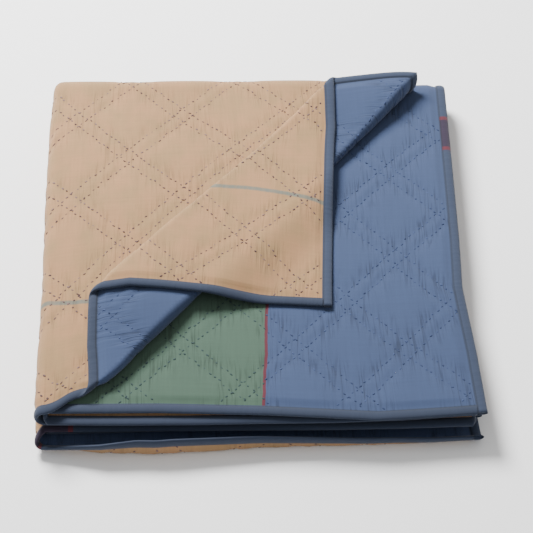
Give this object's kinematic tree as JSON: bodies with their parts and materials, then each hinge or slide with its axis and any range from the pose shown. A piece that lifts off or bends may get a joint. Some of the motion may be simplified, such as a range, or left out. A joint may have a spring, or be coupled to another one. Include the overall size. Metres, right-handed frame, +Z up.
{
  "type": "folded quilt",
  "caption": "Running-stitched cotton quilt folded into a square pile, bound along its edges, with one top corner turned back to show the other face.",
  "frame": {"origin": "on the surface the pile rests on, under the middle of its outline", "axes": "+Z up, -Y towards the front where the bound edges show, +X to the viewer's right"},
  "size_m": [0.526, 0.5831, 0.084],
  "materials": {
    "peach_cotton": "soft woven cotton, quilted",
    "blue_binding": "soft woven cotton"
  },
  "bodies": {
    "root": {"quilt_body": "peach_cotton", "binding_front_upper": "blue_binding", "binding_front_lower": "blue_binding", "binding_side_top": "blue_binding", "binding_side_under": "blue_binding"}
  },
  "joints": []
}
